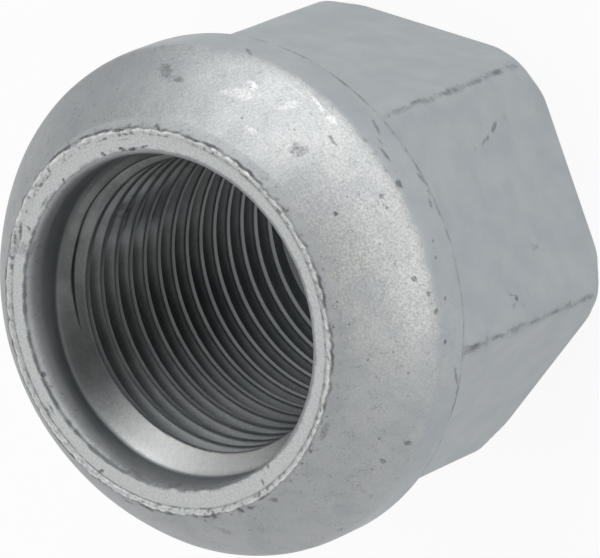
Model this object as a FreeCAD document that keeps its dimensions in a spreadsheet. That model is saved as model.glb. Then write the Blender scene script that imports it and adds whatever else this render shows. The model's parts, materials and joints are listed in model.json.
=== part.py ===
import FreeCAD, Part
import math
import os
import Sketcher

# Ball collar wheel nut for a 20 mm stud with a 1.5 mm pitch, forged and turned from one piece of steel.
# It stands on its hexagon end: the far end face lies in the XY plane, the axis is Z and the ball seat
# points up. Two corners of the hexagon lie on the X axis.

# Driving dimensions in millimetres and degrees: name, value, meaning
DIMENSIONS = [
    ("thread_diameter", 20.0, "major diameter of the stud thread"),
    ("thread_pitch", 1.5, "rise of the thread in one turn"),
    ("across_flats", 26.4, "hexagon, the low side of a 27 mm spanner size"),
    ("hexagon_height", 18.0, "end face to the back edge of the collar"),
    ("corner_radius", 1.4, "rounding of the six upright corners"),
    ("corner_chamfer_width", 1.2, "what the chamfer takes off a sharp corner, across the end face"),
    ("corner_chamfer_angle", 50.0, "corner chamfer, measured from the end face"),
    ("collar_overhang", 0.86, "sharp hexagon corner to the collar band"),
    ("collar_back_angle", 30.0, "slope of the back of the collar, measured from the end face"),
    ("root_radius", 0.6, "fillet where the flats run into the back of the collar"),
    ("band_width", 3.0, "back edge of the collar to the ball seat"),
    ("band_edge_chamfer", 0.4, "chamfer on the back edge of the collar, square to the axis"),
    ("seat_height", 5.3, "height of the ball seat, from the band to the ball end face"),
    ("seat_blend_radius", 3.0, "rounding between the band and the ball seat"),
    ("end_ring_width", 1.73, "flat ring between the counterbore and the ball seat"),
    ("counterbore_clearance", 0.35, "counterbore wall outside the stud thread"),
    ("counterbore_depth", 3.0, "ball end face to the start of the lead-in"),
    ("mouth_radius", 0.4, "rounded mouth of the counterbore"),
    ("lead_in_angle", 45.0, "lead-in cone to the thread, measured from the axis"),
    ("countersink_clearance", 0.3, "countersink on the hexagon end, outside the stud thread"),
    ("countersink_angle", 45.0, "countersink, measured from the axis"),
]
# Depth of a thread for each millimetre of pitch, from the major to the minor diameter
THREAD_DEPTH = 1.0825
# The hexagon runs this far up into the collar, so that the two become one solid
HEXAGON_OVERLAP = 2.0
# The back of the collar runs this far inside the flats, and a cut this far outside the metal
SPARE = 2.0
# The chamfer on the back edge of the collar, in degrees from the end face
EDGE_ANGLE = 45.0
# Two lengths that differ by less than this are the same
NEAR = 1e-4

doc = FreeCAD.newDocument("LugNut")

sheet = doc.addObject("Spreadsheet::Sheet", "Dimensions")
for row, (name, value, meaning) in enumerate(DIMENSIONS, start=1):
    sheet.set(f"A{row}", name)
    sheet.set(f"B{row}", str(value))
    sheet.setAlias(f"B{row}", name)
    sheet.set(f"C{row}", meaning)
doc.recompute()

body = doc.addObject("PartDesign::Body", "Nut")
body.Label = "lug_nut"


def dimension(name):
    """The value of one driving dimension."""
    return float(sheet.get(name))


def slope(name):
    """The tangent of one driving angle."""
    return math.tan(math.radians(dimension(name)))


# Lengths that several sketches share, each as a number to draw with and as the expression it follows
half_flats = dimension("across_flats") / 2
sharp_corner = half_flats / math.cos(math.radians(30))
bore = (dimension("thread_diameter") - THREAD_DEPTH * dimension("thread_pitch")) / 2
counterbore = dimension("thread_diameter") / 2 + dimension("counterbore_clearance")
seat_mouth = counterbore + dimension("end_ring_width")
band = sharp_corner + dimension("collar_overhang")
band_foot = dimension("hexagon_height")
seat_foot = band_foot + dimension("band_width")
top = seat_foot + dimension("seat_height")

SHARP_CORNER = "(Dimensions.across_flats / 2 / cos(30 deg))"
BORE = f"((Dimensions.thread_diameter - {THREAD_DEPTH} * Dimensions.thread_pitch) / 2)"
COUNTERBORE = "(Dimensions.thread_diameter / 2 + Dimensions.counterbore_clearance)"
SEAT_MOUTH = f"({COUNTERBORE} + Dimensions.end_ring_width)"
BAND = f"({SHARP_CORNER} + Dimensions.collar_overhang)"
SEAT_FOOT = "(Dimensions.hexagon_height + Dimensions.band_width)"
TOP = f"({SEAT_FOOT} + Dimensions.seat_height)"


def new_sketch(name, role):
    """An empty sketch on one of the body's own origin planes."""
    sketch = body.newObject("Sketcher::SketchObject", name)
    plane = next(item for item in body.Origin.OriginFeatures if item.Role == role)
    sketch.AttachmentSupport = [(plane, "")]
    sketch.MapMode = "FlatFace"
    return sketch


def add_lines(sketch, points, closed=True):
    """Lines from point to point, joined end to start. Returns the number of the first."""
    ends = points[1:] + points[:1] if closed else points[1:]
    first = sketch.GeometryCount
    for start, end in zip(points, ends):
        sketch.addGeometry(Part.LineSegment(FreeCAD.Vector(*start, 0), FreeCAD.Vector(*end, 0)))
    last = sketch.GeometryCount - 1
    for line in range(first, last):
        join(sketch, line, line + 1)
    if closed:
        join(sketch, last, first)
    return first


def add_arc(sketch, centre, radius, start, end):
    """An arc drawn counterclockwise between two points. Returns its number."""
    circle = Part.Circle(FreeCAD.Vector(*centre, 0), FreeCAD.Vector(0, 0, 1), radius)
    angles = [math.atan2(point[1] - centre[1], point[0] - centre[0]) for point in (start, end)]
    return sketch.addGeometry(Part.ArcOfCircle(circle, *angles))


def join(sketch, first, second):
    """The end of one edge is the start of the next."""
    sketch.addConstraint(Sketcher.Constraint("Coincident", first, 2, second, 1))


def bind(sketch, constraint, expression):
    """Add a dimension to a sketch and tie it to the sheet."""
    index = sketch.addConstraint(constraint)
    sketch.setExpression(f"Constraints[{index}]", expression)


def pin_across(sketch, edge, expression):
    """Hold the start of an edge at a distance from the axis."""
    drawn = sketch.getPoint(edge, 1).x
    bind(sketch, Sketcher.Constraint("DistanceX", -1, 1, edge, 1, drawn), expression)


def pin_up(sketch, edge, expression):
    """Hold the start of an edge at a height above the far end face."""
    drawn = sketch.getPoint(edge, 1).y
    bind(sketch, Sketcher.Constraint("DistanceY", -1, 1, edge, 1, drawn), expression)


def put_on(sketch, edge, line):
    """Hold the start of an edge on a line, -1 for the end face and -2 for the axis."""
    sketch.addConstraint(Sketcher.Constraint("PointOnObject", edge, 1, line))


def revolve(kind, name, sketch):
    """A full turn of a sketch about the axis of the nut."""
    feature = body.newObject(kind, name)
    feature.Profile = sketch
    feature.ReferenceAxis = (sketch, ["V_Axis"])
    feature.Angle = 360.0
    sketch.Visibility = False


def round_edges(name, picked, radius):
    """Fillet the edges of the last feature that a test picks, with a radius from the sheet."""
    base = body.Tip
    names = [f"Edge{number}" for number, edge in enumerate(base.Shape.Edges, start=1) if picked(edge)]
    if not names:
        raise RuntimeError(f"{name} found no edge")
    feature = body.newObject("PartDesign::Fillet", name)
    feature.Base = (base, names)
    feature.Radius = dimension(radius)
    feature.setExpression("Radius", f"Dimensions.{radius}")


def volume():
    """Volume of the nut as built so far."""
    doc.recompute()
    if body.Tip.Shape.isNull():
        raise RuntimeError(f"{body.Tip.Name} failed to build")
    return body.Tip.Shape.Volume


# Hexagon: six equal sides about the axis, with the first corner on the X axis
hexagon = new_sketch("HexagonOutline", "XY_Plane")
turns = [math.radians(60 * side) for side in range(6)]
add_lines(hexagon, [(sharp_corner * math.cos(turn), sharp_corner * math.sin(turn)) for turn in turns])
corner_circle = Part.Circle(FreeCAD.Vector(0, 0, 0), FreeCAD.Vector(0, 0, 1), sharp_corner)
guide = hexagon.addGeometry(corner_circle, True)
hexagon.addConstraint(Sketcher.Constraint("Coincident", guide, 3, -1, 1))
for side in range(6):
    put_on(hexagon, side, guide)
for side in range(1, 6):
    hexagon.addConstraint(Sketcher.Constraint("Equal", 0, side))
put_on(hexagon, 0, -1)
bind(hexagon, Sketcher.Constraint("Radius", guide, sharp_corner), SHARP_CORNER)

blank = body.newObject("PartDesign::Pad", "HexagonBlank")
blank.Profile = hexagon
blank.setExpression("Length", f"Dimensions.hexagon_height + {HEXAGON_OVERLAP}")
hexagon.Visibility = False
doc.recompute()


def is_upright(edge):
    """True for a straight edge parallel to the axis."""
    return isinstance(edge.Curve, Part.Line) and abs(edge.tangentAt(edge.FirstParameter).z) > 1 - NEAR


round_edges("RoundedCorners", is_upright, "corner_radius")
square_end = volume()

# Corner chamfer: a cone turned on the far end takes the six corners off and leaves the flats whole
chamfer = new_sketch("CornerChamferProfile", "XZ_Plane")
inside = sharp_corner - dimension("corner_chamfer_width")
outside = sharp_corner + SPARE
add_lines(chamfer, [
    (inside, 0), (outside, 0), (outside, (outside - inside) * slope("corner_chamfer_angle"))])
pin_across(chamfer, 0, f"{SHARP_CORNER} - Dimensions.corner_chamfer_width")
pin_across(chamfer, 1, f"{SHARP_CORNER} + {SPARE}")
put_on(chamfer, 0, -1)
put_on(chamfer, 1, -1)
chamfer.addConstraint(Sketcher.Constraint("Vertical", 1))
pin_up(chamfer, 2, f"({SPARE} + Dimensions.corner_chamfer_width)"
       " * tan(Dimensions.corner_chamfer_angle * 1 deg)")
revolve("PartDesign::Groove", "CornerChamfer", chamfer)
chamfered_end = volume()

# Collar: the sloping back, the band and the ball seat, turned in one profile. The seat is part of a
# sphere centred on the axis, through the circles at its mouth and foot: these sizes make it R18.
collar = new_sketch("CollarProfile", "XZ_Plane")
seat_height = dimension("seat_height")
centre_drop = (band ** 2 - seat_mouth ** 2 + seat_height ** 2) / (2 * seat_height)
ball_radius = math.hypot(seat_mouth, centre_drop)
ball_centre = (0, top - centre_drop)
blend_radius = dimension("seat_blend_radius")
blend_across = band - blend_radius
blend_up = math.sqrt((ball_radius - blend_radius) ** 2 - blend_across ** 2)
blend_centre = (blend_across, ball_centre[1] + blend_up)
blend_start = (band, blend_centre[1])
stretch = ball_radius / (ball_radius - blend_radius)
blend_end = (blend_across * stretch, ball_centre[1] + blend_up * stretch)
edge_chamfer = dimension("band_edge_chamfer")
back_slope = slope("collar_back_angle")
edge_start = (band - edge_chamfer, band_foot - edge_chamfer * back_slope)
edge_end = (band, edge_start[1] + edge_chamfer * math.tan(math.radians(EDGE_ANGLE)))
back_inside = half_flats - SPARE
back_low = band_foot - (band - back_inside) * back_slope

outline = [(0, top), (0, back_low), (back_inside, back_low), edge_start, edge_end, blend_start]
bottom_line = add_lines(collar, outline, closed=False) + 1
back_line = bottom_line + 1
edge_line = back_line + 1
band_line = edge_line + 1
blend_arc = add_arc(collar, blend_centre, blend_radius, blend_start, blend_end)
seat_arc = add_arc(collar, ball_centre, ball_radius, blend_end, (seat_mouth, top))
face_line = add_lines(collar, [(seat_mouth, top), (0, top)], closed=False)
for first, second in ((band_line, blend_arc), (blend_arc, seat_arc)):
    collar.addConstraint(Sketcher.Constraint("Tangent", first, 2, second, 1))
join(collar, seat_arc, face_line)
join(collar, face_line, 0)
put_on(collar, 0, -2)
put_on(collar, bottom_line, -2)
collar.addConstraint(Sketcher.Constraint("PointOnObject", seat_arc, 3, -2))
collar.addConstraint(Sketcher.Constraint("Horizontal", bottom_line))
collar.addConstraint(Sketcher.Constraint("Vertical", band_line))
collar.addConstraint(Sketcher.Constraint("Horizontal", face_line))
pin_across(collar, face_line, SEAT_MOUTH)
pin_up(collar, face_line, TOP)
pin_across(collar, band_line, BAND)
pin_across(collar, back_line, f"Dimensions.across_flats / 2 - {SPARE}")
pin_up(collar, back_line, f"Dimensions.hexagon_height - ({BAND} - Dimensions.across_flats / 2 + {SPARE})"
       " * tan(Dimensions.collar_back_angle * 1 deg)")
pin_across(collar, edge_line, f"{BAND} - Dimensions.band_edge_chamfer")
collar.addConstraint(Sketcher.Constraint("Angle", edge_line, math.radians(EDGE_ANGLE)))
bind(collar, Sketcher.Constraint("Radius", blend_arc, blend_radius), "Dimensions.seat_blend_radius")
bind(collar, Sketcher.Constraint("Angle", back_line, math.atan(back_slope)),
     "Dimensions.collar_back_angle * 1 deg")
bind(collar, Sketcher.Constraint("Radius", seat_arc, ball_radius),
     f"sqrt({SEAT_MOUTH}^2 + (({BAND}^2 - {SEAT_MOUTH}^2 + Dimensions.seat_height^2)"
     " / (2 * Dimensions.seat_height))^2)")
revolve("PartDesign::Revolution", "BallCollar", collar)
with_collar = volume()
for edge, drawn in (
        (edge_line, edge_start), (band_line, edge_end), (blend_arc, blend_start), (seat_arc, blend_end)):
    solved = collar.getPoint(edge, 1)
    if math.hypot(solved.x - drawn[0], solved.y - drawn[1]) > NEAR:
        raise RuntimeError("the collar profile has left its outline")

# Root fillet: along the line where the six flats and their corners run into the back of the collar
back_face = next(face for face in body.Tip.Shape.Faces
                 if isinstance(face.Surface, Part.Cone) and face.CenterOfMass.z > band_foot / 2)
root_edges = [edge for edge in back_face.Edges
              if math.hypot(edge.Vertexes[0].X, edge.Vertexes[0].Y) < sharp_corner + NEAR]
round_edges("RootFillet", lambda edge: any(edge.isSame(root) for root in root_edges), "root_radius")
before_bore = volume()

# Bore: countersink, bore of the thread, lead-in cone and counterbore, turned in one profile
bore_profile = new_sketch("BoreProfile", "XZ_Plane")
countersink = dimension("thread_diameter") / 2 + dimension("countersink_clearance")
COUNTERSINK = "(Dimensions.thread_diameter / 2 + Dimensions.countersink_clearance)"
counterbore_floor = top - dimension("counterbore_depth")
add_lines(bore_profile, [
    (0, 0),
    (countersink, 0),
    (bore, (countersink - bore) / slope("countersink_angle")),
    (bore, counterbore_floor - (counterbore - bore) / slope("lead_in_angle")),
    (counterbore, counterbore_floor),
    (counterbore, top),
    (0, top)])
bore_profile.addConstraint(Sketcher.Constraint("Coincident", 0, 1, -1, 1))
put_on(bore_profile, 1, -1)
pin_across(bore_profile, 1, COUNTERSINK)
pin_across(bore_profile, 2, BORE)
pin_up(bore_profile, 2, f"({COUNTERSINK} - {BORE}) / tan(Dimensions.countersink_angle * 1 deg)")
bore_profile.addConstraint(Sketcher.Constraint("Vertical", 2))
pin_up(bore_profile, 3, f"{TOP} - Dimensions.counterbore_depth"
       f" - ({COUNTERBORE} - {BORE}) / tan(Dimensions.lead_in_angle * 1 deg)")
pin_across(bore_profile, 4, COUNTERBORE)
pin_up(bore_profile, 4, f"{TOP} - Dimensions.counterbore_depth")
bore_profile.addConstraint(Sketcher.Constraint("Vertical", 4))
pin_up(bore_profile, 5, TOP)
bore_profile.addConstraint(Sketcher.Constraint("Horizontal", 5))
put_on(bore_profile, 6, -2)
revolve("PartDesign::Groove", "Bore", bore_profile)
after_bore = volume()


def is_mouth(edge):
    """True for the circle where the counterbore meets the ball end face."""
    if not isinstance(edge.Curve, Part.Circle):
        return False
    return abs(edge.Curve.Radius - counterbore) < NEAR and abs(edge.Curve.Center.z - top) < NEAR


round_edges("MouthEdge", is_mouth, "mouth_radius")
doc.recompute()

if not chamfered_end < square_end:
    raise RuntimeError("the corner chamfer cut nothing")
if not with_collar > chamfered_end:
    raise RuntimeError("the collar added nothing")
if not after_bore < before_bore:
    raise RuntimeError("the bore cut nothing")
for sketch in (hexagon, chamfer, collar, bore_profile):
    if not sketch.FullyConstrained:
        raise RuntimeError(f"{sketch.Name} is not fully constrained")
for item in doc.Objects:
    if "Invalid" in item.State or "Error" in item.State:
        raise RuntimeError(f"{item.Name} failed to build")
if body.Shape.isNull() or not body.Shape.isValid() or len(body.Shape.Solids) != 1:
    raise RuntimeError("the nut is not one valid solid")

os.makedirs("parts", exist_ok=True)
body.Shape.exportStep(f"parts/{body.Label}.step")
print(f"{body.Label}: {body.Shape.Volume:.1f} mm3, band {2 * band:.2f} mm across, "
      f"{top:.2f} mm high, ball radius {ball_radius:.2f} mm")
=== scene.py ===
import json
import math

import bmesh
import bpy
import numpy as np
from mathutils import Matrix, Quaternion, Vector, noise


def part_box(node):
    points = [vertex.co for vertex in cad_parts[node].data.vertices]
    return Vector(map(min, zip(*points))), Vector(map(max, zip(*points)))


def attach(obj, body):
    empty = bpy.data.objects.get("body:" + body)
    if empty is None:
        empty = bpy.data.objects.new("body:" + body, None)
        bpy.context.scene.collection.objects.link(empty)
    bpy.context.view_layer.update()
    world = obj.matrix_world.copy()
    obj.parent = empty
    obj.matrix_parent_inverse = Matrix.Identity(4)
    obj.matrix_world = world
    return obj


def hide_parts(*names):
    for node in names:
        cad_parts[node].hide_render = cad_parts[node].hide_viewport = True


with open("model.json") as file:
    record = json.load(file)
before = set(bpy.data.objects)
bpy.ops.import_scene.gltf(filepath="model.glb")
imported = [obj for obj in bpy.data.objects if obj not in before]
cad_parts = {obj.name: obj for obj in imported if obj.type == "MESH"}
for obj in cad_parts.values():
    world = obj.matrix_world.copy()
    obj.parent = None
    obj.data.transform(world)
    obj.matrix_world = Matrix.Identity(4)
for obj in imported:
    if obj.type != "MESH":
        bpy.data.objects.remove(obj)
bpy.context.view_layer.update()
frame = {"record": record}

scene = bpy.context.scene
scene.view_settings.view_transform = "Standard"


# Hexagon: the forged half of the nut, standing on its end face. Six flats with rounded corners, the
# corners turned off by a cone at the end, and a fillet where the flats run into the collar's back.
# All lengths of the nut are in millimetres, heights from the end face, angles from +X about the axis.
MM = 0.001
mounts = {mount["name"]: mount for mount in frame["record"]["mounts"]}
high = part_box("lug_nut")[1]
band_radius = high.x / MM
top = high.z / MM
bore_radius = mounts["thread"]["dims"]["r_mm"]
half_flats = 13.2
corner_radius = 1.4
chamfer_foot = 14.05
chamfer_slope = math.tan(math.radians(50))
chamfer_softness = 0.07
end_edge_radius = 0.25
countersink_radius = 10.3
# The broken edge of the countersink, as steps out from its radius and up from the end face.
countersink_edge = ((-0.08, 0.12), (0.04, 0.02))
band_foot = 18.0
back_angle = math.radians(30)
root_radius = 0.6
chamfer_rows = np.arange(0.4, 2.0, 0.26)
flat_rows = np.arange(2.3, 15.4, 0.75)

COLUMNS = 540
CORNER_CROWDING = 0.6
even = np.arange(COLUMNS) * 2 * np.pi / COLUMNS
crowding = np.sin(6 * even) * CORNER_CROWDING / 6
crowded = even - crowding
rows = []


def add_row(radius, height, angle=even):
    """One loop of vertices round the axis, each value a number or one for every column."""
    rows.append(np.broadcast_arrays(radius, height, angle))


def add_arc(radius, height, size, start, end, steps, angle=even):
    """Rows along an arc of the section, given its centre, its size and its first and last direction."""
    for direction in np.radians(np.linspace(start, end, steps)):
        add_row(radius + size * np.cos(direction), height + size * np.sin(direction), angle)


def hexagon_radius(angle):
    """Distance from the axis to the flats and their rounded corners."""
    from_corner = np.abs((angle + np.pi / 6) % (np.pi / 3) - np.pi / 6)
    centre = (half_flats - corner_radius) / math.cos(np.pi / 6)
    tangent = math.atan2(corner_radius / 2, centre + corner_radius * math.cos(np.pi / 6))
    flat = half_flats / np.cos(np.pi / 6 - from_corner)
    reach = np.maximum(corner_radius ** 2 - (centre * np.sin(from_corner)) ** 2, 0)
    rounded = centre * np.cos(from_corner) + np.sqrt(reach)
    return np.where(from_corner < tangent, rounded, flat)


def soft_minimum(first, second, softness):
    """The smaller of two lengths, with the edge between them rounded off."""
    nearer = np.minimum(first, second)
    both = np.exp((nearer - first) / softness) + np.exp((nearer - second) / softness)
    return nearer - softness * np.log(both)


def back_height(radius):
    """Height of the collar's sloping back at a distance from the axis."""
    return band_foot - (band_radius - radius) * math.tan(back_angle)


flats = hexagon_radius(crowded)


def side_radius(height):
    """Distance from the axis to the flats, corners and corner chamfers at one height."""
    return soft_minimum(flats, chamfer_foot + height / chamfer_slope, chamfer_softness)


foot = side_radius(0.0) - end_edge_radius
for out, lift in countersink_edge:
    add_row(countersink_radius + out, lift)
for share in (0.03, 0.35, 0.7, 1.0):
    add_row(countersink_radius + (foot - countersink_radius) * share, 0.0, even - crowding * share)
for direction in np.radians([22.5, 45, 67.5, 90]):
    height = end_edge_radius * (1 - math.cos(direction))
    add_row(side_radius(height) - end_edge_radius * (1 - math.sin(direction)), height, crowded)
for height in np.concatenate([chamfer_rows, flat_rows]):
    add_row(side_radius(height), height, crowded)
fillet_radius = flats + root_radius
fillet_height = back_height(fillet_radius) - root_radius / math.cos(back_angle)
add_arc(fillet_radius, fillet_height, root_radius, 180, 120, 6, crowded)


# Collar: turned on the forging. A sloping back with its edge broken, a plain band, a wide rounding and
# the ball seat, a true sphere about the axis that centres the nut in the wheel.
edge_radius = 0.35
blend_radius = 3.0
ball_radius = mounts["ball_seat"]["dims"]["r_mm"]
ball_height = mounts["ball_seat"]["pos_m"][2] / MM
seat_edge = 12.75

blend_lift = math.sqrt((ball_radius - blend_radius) ** 2 - (band_radius - blend_radius) ** 2)
blend_height = ball_height + blend_lift
blend_turn = math.degrees(math.atan2(blend_lift, band_radius - blend_radius))
edge_height = back_height(band_radius - edge_radius) + edge_radius / math.cos(back_angle)
add_arc(band_radius - edge_radius, edge_height, edge_radius, -60, 0, 5, crowded)
for share in np.linspace(0, 1, 8)[1:-1]:
    add_row(band_radius, edge_height + (blend_height - edge_height) * share, even - crowding * (1 - share))
add_arc(band_radius - blend_radius, blend_height, blend_radius, 0, blend_turn, 9)
seat_turn = math.degrees(math.acos(seat_edge / ball_radius))
for direction in np.radians(np.linspace(blend_turn, seat_turn, 24)[1:]):
    add_row(ball_radius * math.cos(direction), ball_height + ball_radius * math.sin(direction))


# End ring: faced off after the ball was turned, which rolled a crumpled burr of metal up at the ball's
# edge. A fine groove parts the burr from the ring. The mouth is rounded, worn deeper on two sides and kept
# sharper on a third, and the foot of the counterbore runs out of true on one side, where its cone is wider.
burr_inner = 11.62
burr_outer = 12.0
burr_height = 0.12
burr_smear = 0.24
burr_undercut = 0.05
# Each side is given by its angle from +X and its half width, in degrees.
smeared_side = (22, 20)
closed_side = (10, 42)
groove_depth = 0.05
groove_width = 0.06
ring_outer = burr_inner - 0.16
mouth_width = 0.4
mouth_depth = 0.5
worn_mouth = 0.6
worn_side = (95, 55)
near_side = (270, 60)
near_wear = 0.25
kept_side = (168, 40)
kept_edge = 0.22
counterbore_radius = 10.35
counterbore_floor = 23.3
runout_side = (120, 45)
runout = 0.28
# The wall ends this far above the floor. Its foot goes on in steps out from the wall and up from the floor.
wall_end = 0.15
foot_curve = ((-0.05, 0.03), (-0.16, -0.16))
ball_rows = np.linspace(seat_edge, 12.4, 4)[1:]
burr_rows = np.arange(12.36, 11.46, -0.04)
mouth_loop = 11.0


def waver(angle, across, size, seed):
    """Smooth noise from -1 to 1 round a loop about the axis, with bumps of a size in millimetres.
    Each seed gives its own."""
    return np.array([
        noise.noise(Vector((math.cos(a) * r, math.sin(a) * r, seed)) / size)
        for a, r in np.broadcast(angle, across)])


def beside(angle, side, power):
    """1 in the middle of one side of the nut, falling off round it, more squarely with a higher power."""
    place, width = map(math.radians, side)
    away = (angle - place + np.pi) % (2 * np.pi) - np.pi
    return np.exp(-(np.abs(away) / width) ** power)


burr_inside = burr_inner + 0.04 * waver(even, burr_outer, size=2.0, seed=1.0)
burr_outside = burr_outer + burr_smear * beside(even, smeared_side, 2)
burr_outside += 0.08 * waver(even, burr_outer, size=1.3, seed=5.0)
burr_outside += 0.09 * waver(even, burr_outer, size=0.35, seed=9.0)
grooved = 1 - beside(even, closed_side, 4)
for radius in np.concatenate([ball_rows, burr_rows]):
    ball = ball_height + math.sqrt(ball_radius ** 2 - radius ** 2)
    share = (radius - burr_inside) / (burr_outside - burr_inside)
    folds = 1 + 1.3 * waver(even, radius, size=0.3, seed=21.0)
    folds += 0.6 * waver(even, radius, size=0.8, seed=25.0)
    lip = np.clip(share, 0, 1)
    crown = min(ball, top) + burr_height * folds * lip ** 0.7 * (1 - lip ** 10)
    flaked = ball - burr_undercut * np.exp(-((radius - burr_outside) / groove_width) ** 2)
    height = np.where(share >= 1, flaked, np.where(share <= 0, top, crown))
    groove = groove_depth * grooved * np.exp(-((radius - burr_inside) / groove_width) ** 2)
    add_row(radius, height - groove)
mouth_edge = counterbore_radius + mouth_width + 0.05 * waver(even, mouth_loop, size=0.6, seed=30.0)
mouth_edge += 0.05 * waver(even, mouth_loop, size=1.6, seed=34.0)
near = beside(even, near_side, 2)
mouth_edge += near_wear * near - kept_edge * beside(even, kept_side, 4)
mouth_drop = mouth_depth + worn_mouth * (beside(even, worn_side, 2) + near)
for share in np.linspace(0, 1, 6)[1:-1]:
    add_row(ring_outer + (mouth_edge - ring_outer) * share, top)
for direction in np.radians(np.linspace(90, 180, 10)):
    add_row(counterbore_radius + (mouth_edge - counterbore_radius) * (1 + math.cos(direction)),
            top - mouth_drop * (1 - math.sin(direction)))
wider = runout * beside(even, runout_side, 3)
wall_foot = counterbore_floor + wall_end + wider
for share in (0.4, 0.8, 1.0):
    add_row(counterbore_radius + wider * share, top - mouth_drop + (wall_foot - top + mouth_drop) * share)
for out, lift in foot_curve:
    add_row(counterbore_radius + wider + out, counterbore_floor + wider + lift)


# Thread: tapped right through after the counterbore. One helix of flat-topped ridges, 1.5 mm apart,
# that dies out in the lead-in cone at one end and in the countersink at the other. The coating fills its
# shallow end on the cone, and on one side it has pooled in the grooves.
thread_pitch = 1.5
major_radius = 10.0
first_crest = 16.974
# The skin of the thread starts this far out on the cones at its ends.
thread_spare = 0.05
pooled_side = 45
pool_height = 17.0
THREAD_COLUMNS = 108
ROWS_PER_TURN = 16
MATH = "ShaderNodeMath"
MAP_RANGE = "ShaderNodeMapRange"

thread_low = countersink_radius - major_radius - thread_spare
thread_high = counterbore_floor - (counterbore_radius - major_radius - thread_spare)
lead_in_foot = counterbore_floor - (counterbore_radius - bore_radius)
countersink_head = countersink_radius - bore_radius
thread_sizes = {
    "Pitch": thread_pitch,
    "Minor Radius": bore_radius,
    "Major Radius": major_radius,
    "First Crest": first_crest,
    "Crest Share": 0.145,
    "Root Share": 0.4375,
    "Low End": thread_low,
    "High End": thread_high,
    "Lead-in Foot": lead_in_foot,
    "Countersink Head": countersink_head,
    "Pool Angle": math.radians(pooled_side),
    "Pool Half Width": math.radians(12),
    "Pool Height": pool_height,
    "Pool Half Height": 4.5,
    "Pool Fill": 0.6,
    "Run-out Foot": 22.35,
    "Run-out Head": 22.7,
    "Run-out Fill": 0.6,
}


def add_node(tree, kind, *inputs, **settings):
    """Add a node with its settings and links. Its inputs come in the order of its open sockets, or in a
    dict by name. Each is a value, a socket, or a node, which gives its first open output."""
    node = tree.nodes.new(kind)
    for name, value in settings.items():
        setattr(node, name, value)
    if inputs and isinstance(inputs[0], dict):
        pairs = [(node.inputs[name], value) for name, value in inputs[0].items()]
    else:
        pairs = list(zip([socket for socket in node.inputs if socket.enabled], inputs))
    for socket, value in pairs:
        if isinstance(value, bpy.types.Node):
            value = next(output for output in value.outputs if output.enabled)
        if isinstance(value, bpy.types.NodeSocket):
            tree.links.new(value, socket)
        else:
            socket.default_value = value
    return node


helix = bpy.data.node_groups.new("helical_thread", "GeometryNodeTree")
helix.interface.new_socket("Geometry", in_out="OUTPUT", socket_type="NodeSocketGeometry")
for name in thread_sizes:
    helix.interface.new_socket(name, in_out="INPUT", socket_type="NodeSocketFloat")
coating_socket = helix.interface.new_socket("Coating", in_out="INPUT", socket_type="NodeSocketMaterial")
given = add_node(helix, "NodeGroupInput").outputs

# A flat grid is rolled up: its X becomes the turn about the axis, and its Y climbs along the helix.
turns = math.ceil((thread_high - thread_low) / thread_pitch) + 2
grid = add_node(helix, "GeometryNodeMeshGrid", {
    "Size X": 1.0, "Size Y": 1.0, "Vertices X": THREAD_COLUMNS + 1, "Vertices Y": turns * ROWS_PER_TURN + 1})
flat = add_node(helix, "ShaderNodeSeparateXYZ", add_node(helix, "GeometryNodeInputPosition")).outputs
share = add_node(helix, MATH, flat["X"], 0.5, operation="ADD")
angle = add_node(helix, MATH, share, 2 * math.pi, operation="MULTIPLY")
climb = add_node(helix, MATH, share, given["Pitch"], operation="MULTIPLY")
below = add_node(helix, MATH, given["First Crest"], given["Low End"], operation="SUBTRACT")
below = add_node(helix, MATH, below, given["Pitch"], operation="DIVIDE")
below = add_node(helix, MATH, below, operation="CEIL")
below = add_node(helix, MATH, below, 1.0, operation="ADD")
below = add_node(helix, MATH, below, given["Pitch"], operation="MULTIPLY")
start = add_node(helix, MATH, given["First Crest"], below, operation="SUBTRACT")
along = add_node(helix, MATH, flat["Y"], 0.5, operation="ADD")
along = add_node(helix, MATH, along, turns, operation="MULTIPLY")
height = add_node(helix, MATH, along, given["Pitch"], start, operation="MULTIPLY_ADD")
height = add_node(helix, MATH, height, climb, operation="ADD")
height = add_node(helix, "ShaderNodeClamp", height, given["Low End"], given["High End"])
past_crest = add_node(helix, MATH, height, climb, operation="SUBTRACT")
past_crest = add_node(helix, MATH, past_crest, given["First Crest"], operation="SUBTRACT")
past_crest = add_node(helix, MATH, past_crest, given["Pitch"], operation="DIVIDE")

# The groove's depth, less where the coating has pooled and where it fills the run-out on the cone.
out_of_pool = []
for place, middle, half in (
        (angle, "Pool Angle", "Pool Half Width"), (height, "Pool Height", "Pool Half Height")):
    away = add_node(helix, MATH, place, given[middle], operation="SUBTRACT")
    away = add_node(helix, MATH, away, given[half], operation="DIVIDE")
    out_of_pool.append(add_node(helix, MATH, away, 4.0, operation="POWER"))
pooled = add_node(helix, MATH, *out_of_pool, operation="ADD")
pooled = add_node(helix, MATH, pooled, -1.0, operation="MULTIPLY")
pooled = add_node(helix, MATH, pooled, operation="EXPONENT")
pooled = add_node(helix, MATH, pooled, given["Pool Fill"], operation="MULTIPLY")
depth = add_node(helix, MATH, given["Major Radius"], given["Minor Radius"], operation="SUBTRACT")
pooled = add_node(helix, MATH, depth, pooled, operation="MULTIPLY")
deepest = add_node(helix, MATH, given["Major Radius"], pooled, operation="SUBTRACT")
groove_height = add_node(helix, MATH, past_crest, operation="FLOOR")
groove_height = add_node(helix, MATH, groove_height, 0.5, operation="ADD")
crest_height = add_node(helix, MATH, given["First Crest"], climb, operation="ADD")
groove_height = add_node(helix, MATH, groove_height, given["Pitch"], crest_height, operation="MULTIPLY_ADD")
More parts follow.
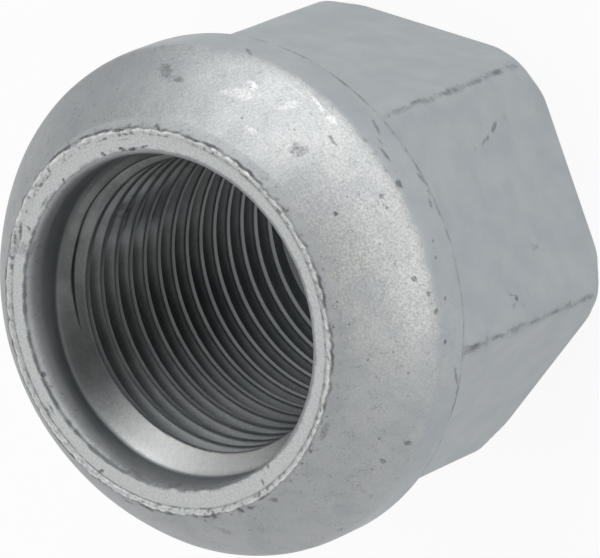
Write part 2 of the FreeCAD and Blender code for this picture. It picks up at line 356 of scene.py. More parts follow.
run_out = add_node(helix, MAP_RANGE, {
    "Value": groove_height, "From Min": given["Run-out Foot"], "From Max": given["Run-out Head"],
    "To Max": given["Run-out Fill"]})
deepest = add_node(helix, MATH, deepest, run_out, operation="SUBTRACT")

# The section: ridges between the bore and the groove's depth, or a cone where that is wider.
from_crest = add_node(helix, MATH, past_crest, 0.5, operation="PINGPONG")
ridge = add_node(
    helix, MAP_RANGE, from_crest, given["Crest Share"], given["Root Share"], given["Minor Radius"], deepest)
lead_in = add_node(helix, MATH, height, given["Lead-in Foot"], operation="SUBTRACT")
lead_in = add_node(helix, MATH, given["Minor Radius"], lead_in, operation="ADD")
countersink = add_node(helix, MATH, given["Countersink Head"], height, operation="SUBTRACT")
countersink = add_node(helix, MATH, given["Minor Radius"], countersink, operation="ADD")
radius = add_node(helix, MATH, lead_in, countersink, operation="MAXIMUM")
radius = add_node(helix, MATH, ridge, radius, operation="MAXIMUM")
cosine = add_node(helix, MATH, angle, operation="COSINE")
sine = add_node(helix, MATH, angle, operation="SINE")
place = add_node(helix, "ShaderNodeCombineXYZ", {
    "X": add_node(helix, MATH, radius, cosine, operation="MULTIPLY"),
    "Y": add_node(helix, MATH, radius, sine, operation="MULTIPLY"),
    "Z": height})
wound = add_node(helix, "GeometryNodeSetPosition", {"Geometry": grid, "Position": place})
welded = add_node(helix, "GeometryNodeMergeByDistance", {"Geometry": wound, "Distance": 1e-4})
real = add_node(helix, "GeometryNodeRealizeInstances", {"Geometry": welded})
coated = add_node(helix, "GeometryNodeSetMaterial", {"Geometry": real, "Material": given["Coating"]})
add_node(helix, "NodeGroupOutput", {"Geometry": coated})


# Coating: zinc flakes in a thin binder, dipped and baked on the forged steel, a matte bluish grey. The ball
# is rubbed to a brighter satin with dark specks, the end ring and its burr to near bare metal, and the bore
# keeps a darker film. Painted sheen, highlights and shade are laid on it too. The flakes are too fine to
# show, so their grain is drawn coarser, 0.14 mm across.
forged_greys = ("9AA0A4", "A2A7A9")
satin_greys = ("999B9A", "BCBDBA")
smooth_grey = "A9ACAE"
cloud_grey = "989CA0"
dull_and_shade_grey = "7C8084"
crackle_grey = "5E6265"
ring_greys = ("C2C5C5", "D2D5D4")
polished_and_highlight_white = "EDEDEA"
film_greys = ("606262", "777978")
film_grain_grey = "9A9C9B"
dirt_and_shade_grey = "3F4346"
mottle_size = 1.8
patch_size = 0.7
curl_size = 0.45
fleck_size = 0.3
grain_size = 0.14
speck_spacing = 0.8
grain_relief = 0.02
forged_roughness = 0.5
satin_roughness = 0.6
film_roughness = 0.44
VECTOR_MATH = "ShaderNodeVectorMath"
MIX = "ShaderNodeMix"

coating = bpy.data.materials.new("zinc_flake_coating")
coating.use_nodes = True
tree = coating.node_tree
tree.nodes.clear()
where = add_node(tree, "ShaderNodeTexCoord").outputs["Object"]
paint = {name: add_node(tree, "ShaderNodeAttribute", attribute_name=name).outputs["Fac"]
         for name in ("seat", "bare", "rub_and_sheen", "stain_and_shade", "grit", "bore", "dull_and_shade")}
# Noise in the nut's own frame, each with its size in millimetres, its detail and how far it is curled.
mottle, patches, curls, fleck, grain = (
    add_node(tree, "ShaderNodeTexNoise", {
        "Vector": where, "Scale": 1 / (size * MM), "Detail": detail, "Distortion": distortion})
    for size, detail, distortion in (
        (mottle_size, 6.0, 0.0), (patch_size, 3.0, 0.0), (curl_size, 3.0, 1.0),
        (fleck_size, 4.0, 0.0), (grain_size, 3.0, 0.0)))


def linear(colour):
    """An sRGB hex colour as linear RGBA."""
    values = [int(colour[place:place + 2], 16) / 255 for place in (0, 2, 4)]
    return [v / 12.92 if v <= 0.04045 else ((v + 0.055) / 1.055) ** 2.4 for v in values] + [1.0]


def broken_edge(name, spread, start, full):
    """A painted value as a soft step, its edge broken up by the flecks."""
    shift = add_node(tree, MATH, fleck, spread, -spread / 2, operation="MULTIPLY_ADD")
    value = add_node(tree, MATH, paint[name], shift, operation="ADD")
    return add_node(tree, MAP_RANGE, value, start, full, interpolation_type="SMOOTHSTEP")


def stamped(name):
    """1 on the marks of one list, with ragged edges, each as strong as its weight."""
    place = add_node(tree, "ShaderNodeAttribute", attribute_name=name).outputs["Vector"]
    weight = add_node(tree, "ShaderNodeSeparateXYZ", place).outputs["Z"]
    away = add_node(tree, VECTOR_MATH, place, (1, 1, 0), operation="MULTIPLY")
    away = add_node(tree, VECTOR_MATH, away, operation="LENGTH")
    shift = add_node(tree, MATH, fleck, 1.4, -0.7, operation="MULTIPLY_ADD")
    away = add_node(tree, MATH, away, shift, operation="ADD")
    inside = add_node(tree, MAP_RANGE, away, 0.6, 1.3, 1.0, 0.0, interpolation_type="SMOOTHSTEP")
    return add_node(tree, MATH, inside, weight, operation="MULTIPLY")


# Specks lie here and there on the ball, and fine cracks run through it in patches.
shake = [fleck_size * MM] * 3
ragged = add_node(tree, VECTOR_MATH, fleck.outputs["Color"], shake, where, operation="MULTIPLY_ADD")
ragged = add_node(tree, VECTOR_MATH, ragged, [-reach / 2 for reach in shake], operation="ADD")
specks = add_node(tree, "ShaderNodeTexVoronoi", {"Vector": ragged, "Scale": 1 / (speck_spacing * MM)})
few = add_node(tree, "ShaderNodeSeparateColor", specks.outputs["Color"]).outputs["Red"]
few = add_node(tree, MAP_RANGE, few, 0.7, 0.8, interpolation_type="SMOOTHSTEP")
speck = add_node(tree, MAP_RANGE, specks, 0.05, 0.12, 1.0, 0.0, interpolation_type="SMOOTHSTEP")
speck = add_node(tree, MATH, speck, few, operation="MULTIPLY")
curl = add_node(tree, MATH, curls, 0.5, operation="SUBTRACT")
curl = add_node(tree, MATH, curl, operation="ABSOLUTE")
cracked = add_node(tree, MAP_RANGE, patches, 0.48, 0.62, 0.0, 0.5, interpolation_type="SMOOTHSTEP")
crackle = add_node(tree, MAP_RANGE, curl, 0.0, 0.025, 1.0, 0.0, interpolation_type="SMOOTHSTEP")
crackle = add_node(tree, MATH, crackle, cracked, operation="MULTIPLY")

# The grey of each part: the forging, the rubbed ball, the bare ring and the film in the bore.
mottled = add_node(tree, MAP_RANGE, mottle, 0.3, 0.7, interpolation_type="SMOOTHSTEP")
forged = add_node(tree, MIX, mottled, *map(linear, forged_greys), data_type="RGBA")
grained = add_node(tree, MAP_RANGE, grain, 0.25, 0.75, interpolation_type="SMOOTHSTEP")
satin = add_node(tree, MIX, grained, *map(linear, satin_greys), data_type="RGBA")
gritty = add_node(tree, MATH, paint["grit"], 0.55, 0.25, operation="MULTIPLY_ADD")
satin = add_node(tree, MIX, gritty, linear(smooth_grey), satin, data_type="RGBA")
clouded = add_node(tree, MAP_RANGE, mottle, 0.3, 0.6, 0.4, 0.0, interpolation_type="SMOOTHSTEP")
satin = add_node(tree, MIX, clouded, satin, linear(cloud_grey), data_type="RGBA")
satin = add_node(tree, MIX, paint["dull_and_shade"], satin, linear(dull_and_shade_grey), data_type="RGBA")
satin = add_node(tree, MIX, crackle, satin, linear(crackle_grey), data_type="RGBA")
grained = add_node(tree, MAP_RANGE, grain, 0.3, 0.7, interpolation_type="SMOOTHSTEP")
ring = add_node(tree, MIX, grained, *map(linear, ring_greys), data_type="RGBA")
film = add_node(tree, MIX, mottled, *map(linear, film_greys), data_type="RGBA")
grained = add_node(tree, MAP_RANGE, grain, 0.3, 0.7, 0.0, 0.18, interpolation_type="SMOOTHSTEP")
film = add_node(tree, MIX, grained, film, linear(film_grain_grey), data_type="RGBA")

# Rubbed metal and painted sheen catch on the flecks and the grain, and the single shines, painted
# highlights on partly rubbed metal, are broken by the cracks.
seat = broken_edge("seat", 0.5, 0.35, 0.65)
bare = broken_edge("bare", 0.6, 0.4, 0.6)
breakup = add_node(tree, MATH, grain, 0.5, -0.25, operation="MULTIPLY_ADD")
shift = add_node(tree, MATH, fleck, 0.3, -0.15, operation="MULTIPLY_ADD")
breakup = add_node(tree, MATH, shift, breakup, operation="ADD")
rubbed_and_lit = add_node(tree, MATH, paint["rub_and_sheen"], breakup, operation="ADD")
rubbed_and_lit = add_node(tree, MAP_RANGE, rubbed_and_lit, 0.0, 0.9, interpolation_type="SMOOTHSTEP")
reached = add_node(tree, MAP_RANGE, paint["rub_and_sheen"], 0.0, 0.1, 0.0, 0.7, interpolation_type="SMOOTHSTEP")
rubbed_and_lit = add_node(tree, MATH, rubbed_and_lit, reached, operation="MULTIPLY")
unbroken = add_node(tree, MAP_RANGE, curl, 0.0, 0.08, 0.2, 1.0, interpolation_type="SMOOTHSTEP")
highlit_and_rubbed = add_node(tree, MATH, stamped("highlight_and_rub"), unbroken, operation="MULTIPLY")
rubbed_and_lit = add_node(tree, MATH, rubbed_and_lit, highlit_and_rubbed, operation="MAXIMUM")

# Dirt and painted shade lines are thin in the painted areas, and darker in the specks of the ball and in
# the single marks.
stained_and_shaded = broken_edge("stain_and_shade", 0.9, 0.15, 1.0)
stained_and_shaded = add_node(tree, MATH, stained_and_shaded, 0.65, operation="MULTIPLY")
on_ball = add_node(tree, MATH, seat, 0.5, operation="MULTIPLY")
speck = add_node(tree, MATH, speck, on_ball, operation="MULTIPLY")
stained_and_shaded = add_node(tree, MATH, stained_and_shaded, speck, operation="MAXIMUM")
caught = add_node(tree, MAP_RANGE, grain, 0.35, 0.6, 1.0, 0.6, interpolation_type="SMOOTHSTEP")
pitted = add_node(tree, MATH, stamped("blemish"), caught, operation="MULTIPLY")
stained_and_shaded = add_node(tree, MATH, stained_and_shaded, pitted, operation="MAXIMUM")

# The parts are laid over each other. The grain and the mottling stand up a little, and dirt and painted
# shade lie lower.
colour = add_node(tree, MIX, seat, forged, satin, data_type="RGBA")
colour = add_node(tree, MIX, bare, colour, ring, data_type="RGBA")
colour = add_node(tree, MIX, rubbed_and_lit, colour, linear(polished_and_highlight_white), data_type="RGBA")
colour = add_node(tree, MIX, paint["bore"], colour, film, data_type="RGBA")
colour = add_node(tree, MIX, stained_and_shaded, colour, linear(dirt_and_shade_grey), data_type="RGBA")
on_seat = satin_roughness - forged_roughness
in_bore = forged_roughness - film_roughness
gloss = add_node(tree, MATH, seat, on_seat, forged_roughness, operation="MULTIPLY_ADD")
smoother = add_node(tree, MATH, paint["bore"], in_bore, operation="MULTIPLY")
gloss = add_node(tree, MATH, gloss, smoother, operation="SUBTRACT")
grain_height = add_node(tree, MATH, seat, 0.8, 0.2, operation="MULTIPLY_ADD")
bumps = add_node(tree, MATH, grain, grain_height, mottle, operation="MULTIPLY_ADD")
bumps = add_node(tree, MATH, bumps, stained_and_shaded, operation="SUBTRACT")
bump = add_node(tree, "ShaderNodeBump", {"Strength": 0.3, "Distance": grain_relief * MM, "Height": bumps})
shader = add_node(tree, "ShaderNodeBsdfPrincipled", {
    "Base Color": colour, "Metallic": 0.9, "Roughness": gloss, "Normal": bump})
add_node(tree, "ShaderNodeOutputMaterial", {"Surface": shader})


# Skin: the rows of the forging, the collar and the end ring are joined into one shell, and the thread is
# wound and welded in between the cones at its ends, because the nut is one piece of metal.
thread = bpy.data.objects.new("thread", bpy.data.meshes.new("thread"))
scene.collection.objects.link(thread)
winding = thread.modifiers.new("winding", "NODES")
winding.node_group = helix
for item in helix.interface.items_tree:
    if item.name in thread_sizes:
        winding[item.identifier] = thread_sizes[item.name]
winding[coating_socket.identifier] = coating
thread_mesh = bpy.data.meshes.new_from_object(thread.evaluated_get(bpy.context.evaluated_depsgraph_get()))
bpy.data.objects.remove(thread)

shell = bmesh.new()
loops = []
for radius, height, angle in rows:
    loops.append([
        shell.verts.new((r * math.cos(a), r * math.sin(a), z)) for r, z, a in zip(radius, height, angle)])
for lower, upper in zip(loops, loops[1:]):
    for column in range(COLUMNS):
        after = (column + 1) % COLUMNS
        shell.faces.new((lower[column], lower[after], upper[after], upper[column]))

per_coarse = COLUMNS // THREAD_COLUMNS
for loop, radius, height in (
        (loops[0], countersink_radius - thread_low, thread_low),
        (loops[-1], counterbore_radius - (counterbore_floor - thread_high), thread_high)):
    coarse = [
        shell.verts.new((radius * math.cos(a), radius * math.sin(a), height)) for a in even[::per_coarse]]
    for step in range(THREAD_COLUMNS):
        fine_edge = [loop[(step * per_coarse + place) % COLUMNS] for place in range(per_coarse + 1)]
        shell.faces.new([coarse[step], *fine_edge, coarse[(step + 1) % THREAD_COLUMNS]])
shell.from_mesh(thread_mesh)
bmesh.ops.remove_doubles(shell, verts=shell.verts, dist=1e-3)
bmesh.ops.recalc_face_normals(shell, faces=shell.faces)
shell.normal_update()


# Wear: what forging, turning and handling left on the skin, as values on its vertices that the coating
# reads: rubbed sides with painted sheen where the light falls, a side darkened by painted shade, dirt in
# the corners and round the burr, painted shade along the collar's edge and by the burr, painted shade and
# light in the bore, single pits and scuffs where they show on the real nut, and shines that are painted
# highlights on partly rubbed metal.
grainy_side = (268, 24)
rubbed_and_lit_side = (314, 36)
rubbed_and_lit_patch = (257, 12)
shaded_side = (4, 30)
dull_patch = (290, 11)
dull_band = (284, 14)
bright_band = (245, 14)
scuffed_side = (292, 20)
dark_fringe_side = (335, 75)
smooth_burr = (105, 45)
ragged_mouth = (100, 65)
lit_mouth = (160, 50)
lit_thread = (150, 38)
coated_pool = (pooled_side, 14)
# Heights: the foot of the band and of the ball, then from where to where the seat begins, and the dirt on
# a corner of the hexagon begins and ends.
collar_foot = 18.2
ball_foot = 20.9
seat_foot = (20.6, 21.1)
corner_foot = (1.2, 2.0)
corner_head = (17.4, 16.6)
dirty_corners = (300, 240)
# Beyond ring_reach from the axis lie the ball and the forging. Nearer in, the end ring lies above
# ring_foot, and the bore within bore_reach.
ring_reach = 12.55
ring_foot = 25.0
bore_reach = 10.8
# The forged faces are uneven, by these depths over bumps of these sizes.
forging_waves = ((0.02, 3.5), (0.006, 1.1))

# Each mark: angle, distance from the axis, height, half length, half width, lean from the level, weight.
blemishes = (
    # On the flats
    (246.4, 14.4, 9.73, 0.19, 0.18, 0, 0.8), (240.3, 15.2, 15.05, 0.4, 0.14, -75, 0.9),
    (288.7, 13.93, 6.2, 0.5, 0.16, -60, 0.6), (286.3, 13.75, 7.7, 0.35, 0.1, -65, 0.4),
    (255.8, 13.62, 6.0, 0.14, 0.12, 0, 0.4),
    # On the band
    (290.0, 16.1, 20.2, 0.45, 0.16, 2, 0.6), (282.9, 15.95, 20.6, 0.28, 0.25, 0, 0.8),
    (256.4, 16.0, 19.9, 0.15, 0.13, 0, 0.7), (254.4, 15.95, 20.9, 0.2, 0.17, 0, 0.8),
    (247.1, 15.95, 20.2, 0.17, 0.15, 0, 0.9), (268.9, 16.1, 19.8, 0.12, 0.12, 0, 0.5),
    (265.5, 16.1, 20.0, 0.12, 0.12, 0, 0.5), (329.6, 15.94, 20.5, 0.6, 0.12, -38, 0.6),
    (296.6, 16.1, 19.2, 0.6, 0.14, -19, 0.5), (282.2, 16.1, 18.4, 0.4, 0.14, 14, 0.5),
    (276.5, 16.1, 18.7, 0.35, 0.14, -13, 0.5), (237.9, 16.1, 18.7, 0.7, 0.14, 27, 0.5),
    # On the ball
    (345.4, 14.83, 23.1, 0.7, 0.4, -42, 0.5), (340.5, 14.48, 23.65, 0.4, 0.2, 0, 0.45),
    (301.9, 14.15, 24.08, 0.5, 0.4, 48, 0.5), (298.5, 15.3, 22.44, 0.42, 0.1, -4, 0.7),
    (282.2, 15.56, 22.0, 0.24, 0.16, -37, 0.5), (279.3, 15.53, 22.06, 0.12, 0.12, 0, 0.8),
    (283.4, 13.82, 24.5, 0.15, 0.12, 0, 0.9), (262.7, 15.59, 21.96, 0.2, 0.18, 0, 0.8),
    (258.7, 15.95, 21.3, 0.18, 0.17, 0, 0.8), (223.8, 15.72, 21.7, 0.26, 0.16, -87, 0.6),
    (218.3, 15.15, 22.7, 0.3, 0.14, 66, 0.5), (171.6, 13.36, 25.01, 0.42, 0.28, -83, 0.35),
    # Just outside the burr
    (186.7, 12.21, 26.19, 0.2, 0.16, -52, 0.8), (142.4, 12.39, 26.01, 0.45, 0.12, 3, 0.7),
    (126.1, 12.52, 25.89, 0.2, 0.1, -15, 0.7), (194.6, 12.46, 25.94, 0.28, 0.2, -80, 0.6),
    (6.1, 12.21, 26.17, 0.53, 0.1, -8, 0.9), (150.3, 12.15, 26.2, 0.28, 0.18, -37, 0.8),
    (224.0, 12.35, 26.05, 0.7, 0.2, 0, 0.4),
    # On the end ring and its burr
    (173.6, 12.05, 26.3, 0.3, 0.2, 66, 0.8), (183.3, 12.12, 26.26, 0.2, 0.2, 89, 0.8),
    (353.3, 12.0, 26.3, 0.44, 0.1, -4, 0.9), (14.1, 12.17, 26.21, 0.5, 0.09, -15, 0.9),
    (339.2, 12.11, 26.27, 0.31, 0.09, -34, 0.8), (327.5, 11.98, 26.3, 0.65, 0.08, 2, 0.8),
    (354.0, 10.85, 26.3, 0.3, 0.1, -20, 0.9), (349.6, 10.77, 26.3, 0.39, 0.12, 5, 0.9),
    (345.3, 10.87, 26.3, 0.28, 0.1, 13, 0.8), (2.0, 10.86, 26.3, 0.22, 0.1, -32, 0.9),
    (21.5, 10.75, 26.3, 0.2, 0.12, 60, 0.8), (33.0, 10.9, 26.3, 0.5, 0.1, 0, 0.5),
    (48.2, 11.5, 26.3, 0.8, 0.12, 14, 0.75), (50.6, 11.72, 26.3, 0.6, 0.1, 16, 0.8),
    (44.4, 11.08, 26.3, 0.25, 0.1, 60, 0.7), (94.8, 10.62, 26.25, 0.21, 0.12, 5, 0.9),
    (105.8, 11.16, 26.3, 0.34, 0.09, -6, 0.6), (105.6, 11.57, 26.3, 0.44, 0.1, -8, 0.6),
    (131.0, 11.5, 26.3, 0.3, 0.12, 60, 0.8), (157.8, 12.0, 26.3, 0.3, 0.14, -8, 0.7),
    (166.8, 12.0, 26.3, 0.18, 0.14, -34, 0.7), (195.8, 11.25, 26.3, 0.22, 0.1, 68, 0.7),
    (192.4, 11.74, 26.3, 0.16, 0.14, -80, 0.7), (200.9, 10.7, 26.3, 0.17, 0.13, 68, 0.6),
    (51.1, 10.6, 26.2, 0.7, 0.14, 7, 0.4),
    # In the bore, on the thread
    (41.0, 9.3, 19.5, 0.6, 0.35, 60, 0.7), (43.5, 9.3, 18.3, 0.5, 0.3, 40, 0.7),
    (47.5, 9.3, 13.7, 0.5, 0.3, 70, 0.6),
)
# Shines: painted highlights where the light catches the ball's edge, on metal partly rubbed bright.
highlights_and_rubs = (
    (306.5, 15.76, 21.5, 1.5, 0.16, -10, 0.5), (302.9, 15.75, 21.65, 0.6, 0.22, -6, 0.7),
    (322.6, 14.58, 23.4, 1.3, 0.45, 18, 0.35), (321.8, 15.15, 22.7, 0.5, 0.2, -10, 0.5),
    (311.6, 15.16, 22.6, 0.7, 0.3, 54, 0.3), (314.1, 13.58, 24.8, 0.5, 0.2, 0, 0.4),
)


def step_up(value, start, full):
    """0 at start and 1 at full, level beyond both, and full may lie on either side of start."""
    return min(max((value - start) / (full - start), 0), 1)


def bell(value, middle, width):
    """1 at the middle, falling off on both sides."""
    return math.exp(-((value - middle) / width) ** 2)


def on_side(turned, side):
    """1 in the middle of one side of the nut, falling off round it, but not across +X."""
    return bell(turned, *map(math.radians, side))


def wear_outside(spot, distance, turned, uneven):
    """Wear of the forging, the band and the ball. The lit sides are made lighter by painted sheen mixed
    with real rubbing, one side darker by painted shade, and the collar's edge by a painted shade line.
    """
    seat = step_up(spot.z + 0.2 * uneven, *seat_foot)
    band = (1 - seat) * (spot.z > collar_foot)
    # Painted sheen: the ball and the band are made lighter on the sides where the light falls, mixed with
    # real rubbing.
    rub_and_sheen = 0.24 * seat * on_side(turned, rubbed_and_lit_side) * (1 + 0.6 * noise.noise(spot / 2.2))
    rub_and_sheen += 0.12 * seat * on_side(turned, rubbed_and_lit_patch) * bell(distance, 15.5, 0.6)
    rub_and_sheen += 0.12 * band * on_side(turned, bright_band)
    # Painted shade: one side of the ball is darker where it turns from the light; two smaller patches are
    # darker too.
    dull_and_shade = 0.45 * seat * beside(turned, shaded_side, 2) * (0.75 + 0.5 * bell(distance, 15.9, 1.0))
    dull_and_shade += 0.22 * seat * on_side(turned, dull_patch) * bell(distance, 13.7, 1.0)
    dull_and_shade += 0.45 * band * on_side(turned, dull_band)
    # Painted shade: a dark line along the collar's back edge, where its rounding turns from the light.
    dirt_and_shade = 0.5 * bell(spot.z, edge_height, 0.16) * (1.1 + noise.noise(spot / 1.2))
    for corner in dirty_corners:
        across = distance * math.sin(turned - math.radians(corner)) + 0.25 * noise.noise(spot / 0.9)
        patchy = 0.75 + 0.8 * noise.noise(Vector((corner, 0, spot.z / 1.1)))
        ends = step_up(spot.z, *corner_foot) * step_up(spot.z, *corner_head)
        dirt_and_shade = max(dirt_and_shade, 0.75 * patchy * bell(across, 0, 0.28) * ends)
    scuffed = bell(spot.z, ball_foot, 0.3) * on_side(turned, scuffed_side)
    dirt_and_shade = max(dirt_and_shade, 0.5 * scuffed * (0.5 + 1.5 * noise.noise(spot / 0.8)))
    grit = on_side(turned, grainy_side) + 0.3 * noise.noise(spot / 3.0)
    return {"seat": seat, "rub_and_sheen": rub_and_sheen, "dull_and_shade": dull_and_shade, "stain_and_shade": dirt_and_shade, "grit": grit}


def wear_on_ring(spot, distance, turned, uneven, column):
    """Wear of the end ring and its burr: bare metal, with a painted shadow line and dark flakes just outside
    the burr, and darker lines along the groove and at the mouth.
    """
    inner, outer, edge = burr_inside[column], burr_outside[column], mouth_edge[column]
    bare = step_up(distance, edge - 0.12, edge) * step_up(distance, outer + 0.1, outer - 0.15)
    fringe = 0.42 + 0.2 * beside(turned, dark_fringe_side, 4)
    ragged_side = 0.4 + 0.6 * beside(turned, ragged_mouth, 4)
    rub_and_sheen = 0.0
    # Just outside the burr a painted shadow line, darker on one side, then dark flakes; darker along the
    # groove and the mouth.
    dirt_and_shade = max(
        bell(distance, outer + 0.08, 0.09) * (fringe + uneven + noise.noise(spot / 1.7)),
        1.8 * bell(distance, outer + 0.25, 0.22) * (noise.noise(spot / 0.3) - 0.15),
        0.6 * grooved[column] * bell(distance, inner, 0.08) * (1 + 0.6 * uneven),
        ragged_side * bell(distance, edge - 0.05, 0.14) * (1 + 0.7 * uneven))
    if inner < distance < outer:
        share = (distance - inner) / (outer - inner)
        smooth = 0.6 * beside(turned, smooth_burr, 4)
        flecks = 1.1 * noise.noise(spot / 0.22) + 0.4 * uneven
        dirt_and_shade = max(dirt_and_shade, 0.4 * (1 - share) + (1 - smooth) * flecks)
        rub_and_sheen = bell(share, 0.75, 0.16) * (0.6 + 1.1 * noise.noise(spot / 0.4))
    return {"seat": 1.0, "bare": bare, "rub_and_sheen": rub_and_sheen, "stain_and_shade": dirt_and_shade}


def wear_in_bore(spot, distance, turned, column):
    """The counterbore, its cone and the thread: a dark film, with painted shade on the thread's flanks and
    painted light in its roots and on the side where light falls in. It is thinner towards the far end and on
    the pool.
    """
    if spot.z > lead_in_foot:
        # Painted light: on the side of the mouth where light falls in, the film is left off and the cone
        # whitened.
        rubbed_and_lit = beside(turned, lit_mouth, 4)
        cone = spot.z < counterbore_floor + wider[column]
        return {"bore": (0.97 if cone else 0.34) * (1 - rubbed_and_lit), "rub_and_sheen": 0.7 * rubbed_and_lit * cone}
    depth = distance - bore_radius
    pool = beside(turned, coated_pool, 4) * bell(spot.z, pool_height, 4.0)
    # Painted shade on the flanks near the crests, and painted light in the roots and on the lit side of the
    # thread.
    rubbed_and_lit = on_side(turned, lit_thread)
    crest = 0.2 + 0.5 * step_up(spot.z, 3, 12)
    flank_shade = 0.35 * step_up(depth, 0.02, 0.12)
    root = 0.6 * step_up(depth, 0.3, 0.75)
    return {"bore": (crest + flank_shade) * (1 - root) * (1 - 0.6 * pool - 0.9 * rubbed_and_lit), "rub_and_sheen": 0.2 * rubbed_and_lit}


painted = {name: [] for name in paint}
for vertex in shell.verts:
    spot = vertex.co.copy()
    distance = math.hypot(spot.x, spot.y)
    turned = math.atan2(spot.y, spot.x) % (2 * math.pi)
    column = round(turned / (2 * math.pi) * COLUMNS) % COLUMNS
    uneven = noise.noise(spot / 0.6)
    values = {}
    if distance > ring_reach:
        if spot.z > end_edge_radius + 0.05:
            wave = sum(depth * noise.noise(spot / size) for depth, size in forging_waves)
            vertex.co += vertex.normal * wave
        values = wear_outside(spot, distance, turned, uneven)
    elif spot.z > ring_foot:
        values = wear_on_ring(spot, distance, turned, uneven, column)
    elif distance < bore_reach and spot.z > 0.05:
        values = wear_in_bore(spot, distance, turned, column)
    for name in painted:
        painted[name].append(values.get(name, 0.0))
points = np.array([vertex.co for vertex in shell.verts])
up = Vector((0, 0, 1))
# Where no mark is near, a point counts as this many times a mark's size away.
FAR = 9.0


def stamp(marks):
    """Where each vertex lies on its nearest mark, along and across it with 1 at the edge, and the weight,
    which fades out a little beyond the mark and where the next one is as near."""
    stamps = np.zeros((len(points), 3))
    nearest, second = np.full((2, len(points)), FAR)
    for angle, distance, height, length, width, lean, weight in marks:
        outward = Vector((math.cos(math.radians(angle)), math.sin(math.radians(angle)), 0))
        centre = outward * distance + up * height
        level = up.cross(outward)
        if height > top - 0.1:
            outward = up
        elif height > ball_foot and distance > burr_outer:
            outward = (centre - up * ball_height).normalized()
        along = Quaternion(outward, math.radians(lean)) @ level
        offset = points - np.array(centre)
        away = np.linalg.norm(offset, axis=1)
        faded = weight * np.clip((1.3 * length + 0.6 - away) / 0.3, 0, 1)
        place = np.column_stack([
            offset @ np.array(along) / length, offset @ np.array(outward.cross(along)) / width, faded])
        reach = np.where(faded > 0, np.hypot(place[:, 0], place[:, 1]), FAR)
        closer = reach < nearest
        stamps[closer] = place[closer]
        second = np.minimum(second, np.maximum(nearest, reach))
        nearest = np.minimum(nearest, reach)
    stamps[:, 2] *= np.clip((second - nearest) / 0.5, 0, 1)
    return stamps


for face in shell.faces:
    face.smooth = True
bmesh.ops.scale(shell, vec=(MM, MM, MM), verts=shell.verts)
nut_mesh = bpy.data.meshes.new("lug_nut_forging")
shell.to_mesh(nut_mesh)
for name, values in painted.items():
    nut_mesh.attributes.new(name, "FLOAT", "POINT").data.foreach_set("value", values)
for name, marks in (("blemish", blemishes), ("highlight_and_rub", highlights_and_rubs)):
    nut_mesh.attributes.new(name, "FLOAT_VECTOR", "POINT").data.foreach_set("vector", stamp(marks).ravel())
nut_mesh.materials.append(coating)
open_edges = sum(1 for edge in shell.edges if len(edge.link_faces) != 2)
triangles = sum(len(face.vertices) - 2 for face in nut_mesh.polygons)
print("nut:", triangles, "triangles,", open_edges, "edges not shared by two faces")
shell.free()
nut = bpy.data.objects.new("lug_nut_forging", nut_mesh)
scene.collection.objects.link(nut)
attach(nut, "root")
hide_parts("lug_nut")


# Floor: a plain white sheet of paper that the nut stands on. It shows white to the camera and in the metal,
# and keeps the nut's shadow. Under the bore it doesn't glow for the camera and glows less in the metal, so
# that the bore stays dark. Its lengths, and those of the lights and the camera, are in metres.
floor_half = 3.0
floor_glow = 0.88
bore_glow = 0.6
under_bore = (countersink_radius + 0.5) * MM
paper_white = "FFFFFF"
floor_mesh = bpy.data.meshes.new("floor")
floor_mesh.from_pydata(
    [(-floor_half, -floor_half, 0), (floor_half, -floor_half, 0),
     (floor_half, floor_half, 0), (-floor_half, floor_half, 0)], [], [(0, 1, 2, 3)])
floor = bpy.data.objects.new("floor", floor_mesh)
scene.collection.objects.link(floor)
white = bpy.data.materials.new("white_paper")
white.use_nodes = True
tree = white.node_tree
tree.nodes.clear()
where = add_node(tree, "ShaderNodeTexCoord").outputs["Object"]
from_axis = add_node(tree, VECTOR_MATH, where, operation="LENGTH")
clear = add_node(tree, MATH, from_axis, under_bore, operation="GREATER_THAN")
paper = add_node(tree, "ShaderNodeBsdfDiffuse", {"Color": linear(paper_white)})
glow = add_node(tree, "ShaderNodeEmission", {"Color": linear(paper_white), "Strength": 1.0})
path = add_node(tree, "ShaderNodeLightPath").outputs
looked_at = add_node(tree, MATH, path["Is Camera Ray"], clear, operation="MULTIPLY")
dimmed = add_node(tree, MAP_RANGE, {"Value": clear, "To Min": bore_glow})
mirrored = add_node(tree, MATH, path["Is Glossy Ray"], dimmed, operation="MULTIPLY")
seen = add_node(tree, MATH, looked_at, mirrored, operation="MAXIMUM")
seen = add_node(tree, MATH, seen, path["Is Transmission Ray"], operation="MAXIMUM")
share = add_node(tree, MATH, seen, floor_glow, operation="MULTIPLY")
mixed = add_node(tree, "ShaderNodeMixShader", share, paper, glow)
add_node(tree, "ShaderNodeOutputMaterial", {"Surface": mixed})
floor_mesh.materials.append(white)


# Light: a white studio tent, bright all round and dark where the camera looks in, and three softboxes set
# low round the nut. The metal takes its tones from them. Angles are counted from -Y towards +X.
camera_azimuth = math.radians(4.728)
camera_elevation = math.radians(52.064)
tent_level = 0.9
opening_level = 0.05
# Cosines of the angle from the camera's direction, between which the tent darkens.
opening = (0.8, 0.96)
tent_white = "FFFFFF"
softbox_aim = Vector((0, 0, 0.013))


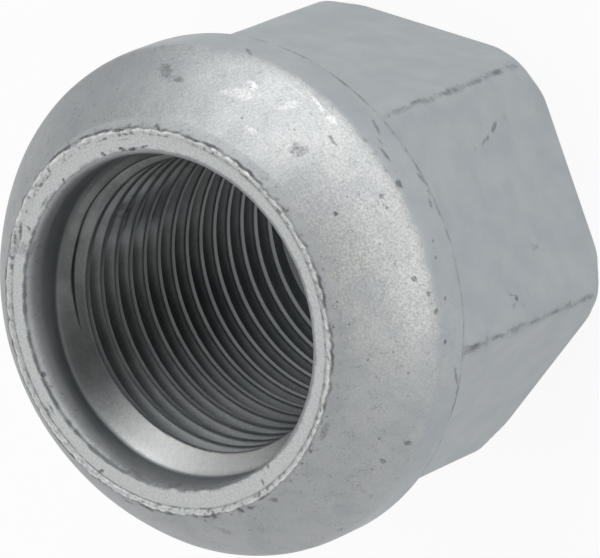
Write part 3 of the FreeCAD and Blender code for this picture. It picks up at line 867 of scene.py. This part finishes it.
def toward(azimuth, elevation):
    """The direction from the nut to a lamp or the camera."""
    return Vector((
        math.sin(azimuth) * math.cos(elevation),
        -math.cos(azimuth) * math.cos(elevation),
        math.sin(elevation)))


camera_back = toward(camera_azimuth, camera_elevation)
world = bpy.data.worlds.new("studio_tent")
scene.world = world
world.use_nodes = True
tree = world.node_tree
tree.nodes.clear()
direction = add_node(tree, "ShaderNodeTexCoord").outputs["Generated"]
to_camera = add_node(tree, VECTOR_MATH, direction, camera_back, operation="DOT_PRODUCT")
level = add_node(
    tree, MAP_RANGE, to_camera, *opening, tent_level, opening_level, interpolation_type="SMOOTHSTEP")
background = add_node(tree, "ShaderNodeBackground", {"Color": linear(tent_white), "Strength": level})
add_node(tree, "ShaderNodeOutputWorld", {"Surface": background})


def add_softbox(name, azimuth, elevation, distance, width, height, power):
    """An area light that faces the nut, its two angles in degrees."""
    light = bpy.data.lights.new(name, "AREA")
    light.shape = "RECTANGLE"
    light.size = width
    light.size_y = height
    light.energy = power
    lamp = bpy.data.objects.new(name, light)
    scene.collection.objects.link(lamp)
    back = toward(math.radians(azimuth), math.radians(elevation))
    lamp.location = softbox_aim + back * distance
    lamp.rotation_mode = "QUATERNION"
    lamp.rotation_quaternion = back.to_track_quat("Z", "Y")


add_softbox("key", azimuth=70, elevation=11, distance=0.5, width=0.26, height=0.2, power=0.78)
add_softbox("strip_front", azimuth=-12, elevation=4, distance=0.5, width=0.4, height=0.09, power=0.75)
add_softbox("strip_side", azimuth=34, elevation=4, distance=0.5, width=0.36, height=0.09, power=0.62)


# Camera: a long lens a good way off, so that the picture is nearly parallel. Its place, roll and aim are
# fitted to the outline of the nut.
camera_roll = math.radians(-112.66)
camera_distance = 0.43325
camera_aim = Vector((-0.637, -0.270, 12.831)) * MM
lens = bpy.data.cameras.new("camera")
lens.sensor_width = 36.0
lens.lens = 421.3
lens.clip_start = 0.05
camera = bpy.data.objects.new("camera", lens)
scene.collection.objects.link(camera)
camera.rotation_mode = "QUATERNION"
camera.rotation_quaternion = camera_back.to_track_quat("Z", "Y") @ Quaternion((0, 0, 1), camera_roll)
camera.location = camera_aim + camera_back * camera_distance
scene.camera = camera
